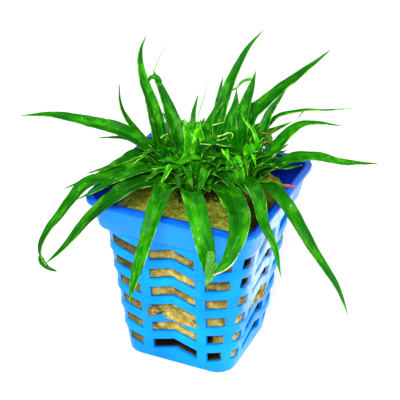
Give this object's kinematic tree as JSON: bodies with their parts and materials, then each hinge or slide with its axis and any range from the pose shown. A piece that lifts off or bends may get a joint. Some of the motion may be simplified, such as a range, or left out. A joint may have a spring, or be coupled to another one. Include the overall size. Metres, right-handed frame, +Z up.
{
  "type": "potted pipewort",
  "caption": "Pipewort plant with long narrow arching leaves, growing in rock wool in a square slotted blue plastic basket.",
  "frame": {"origin": "centre of the pot's flat base, where it rests", "axes": "+Z up; -Y out of the pot's front wall; +X to the right seen from the front"},
  "size_m": [0.1151, 0.0992, 0.102],
  "materials": {
    "pot_plastic": "glossy azure moulded plastic",
    "rock_wool": "matt tan mineral fibre",
    "crown_fibre": "dark brown fibrous stem",
    "leaf_green": "glossy living green leaf"
  },
  "bodies": {
    "root": {"pot": "pot_plastic", "wool_plug": "rock_wool", "left_crown": "crown_fibre", "middle_crown": "crown_fibre", "right_crown": "crown_fibre", "left_leaf_1": "leaf_green", "left_leaf_2": "leaf_green", "left_leaf_3": "leaf_green", "left_leaf_4": "leaf_green", "left_leaf_5": "leaf_green", "left_leaf_6": "leaf_green", "left_leaf_7": "leaf_green", "left_leaf_8": "leaf_green", "left_leaf_9": "leaf_green", "left_leaf_10": "leaf_green", "middle_leaf_1": "leaf_green", "middle_leaf_2": "leaf_green", "middle_leaf_3": "leaf_green", "middle_leaf_4": "leaf_green", "middle_leaf_5": "leaf_green", "middle_leaf_6": "leaf_green", "middle_leaf_7": "leaf_green", "middle_leaf_8": "leaf_green", "right_leaf_1": "leaf_green", "right_leaf_2": "leaf_green", "right_leaf_3": "leaf_green", "right_leaf_4": "leaf_green", "right_leaf_5": "leaf_green", "right_leaf_6": "leaf_green", "right_leaf_7": "leaf_green", "right_leaf_8": "leaf_green", "right_leaf_9": "leaf_green", "right_leaf_10": "leaf_green", "right_leaf_11": "leaf_green"}
  },
  "joints": []
}
